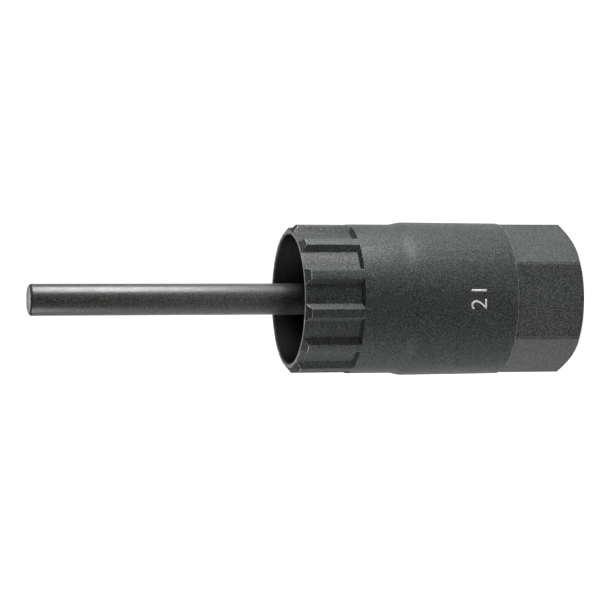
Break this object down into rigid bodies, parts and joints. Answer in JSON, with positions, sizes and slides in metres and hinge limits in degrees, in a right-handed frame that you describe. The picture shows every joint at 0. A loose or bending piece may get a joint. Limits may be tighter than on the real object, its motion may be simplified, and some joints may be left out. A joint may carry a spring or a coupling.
{
  "type": "cassette lockring tool",
  "caption": "Socket that turns the splined lockring of a bicycle's sprocket cassette, with a hexagon end for a wrench and a long guide pin.",
  "frame": {"origin": "centre of the hexagon end, in the plane that the tool stands on", "axes": "+Z along the tool's axis towards the tip of the guide pin; one flat of the hexagon faces -Y"},
  "size_m": [0.0241, 0.024, 0.086],
  "materials": {
    "phosphated_steel": "dark matt phosphate on steel, fine grain",
    "ground_pin_steel": "dark oiled steel, half gloss"
  },
  "bodies": {
    "root": {"socket_body": "phosphated_steel", "guide_pin": "ground_pin_steel"}
  },
  "joints": []
}
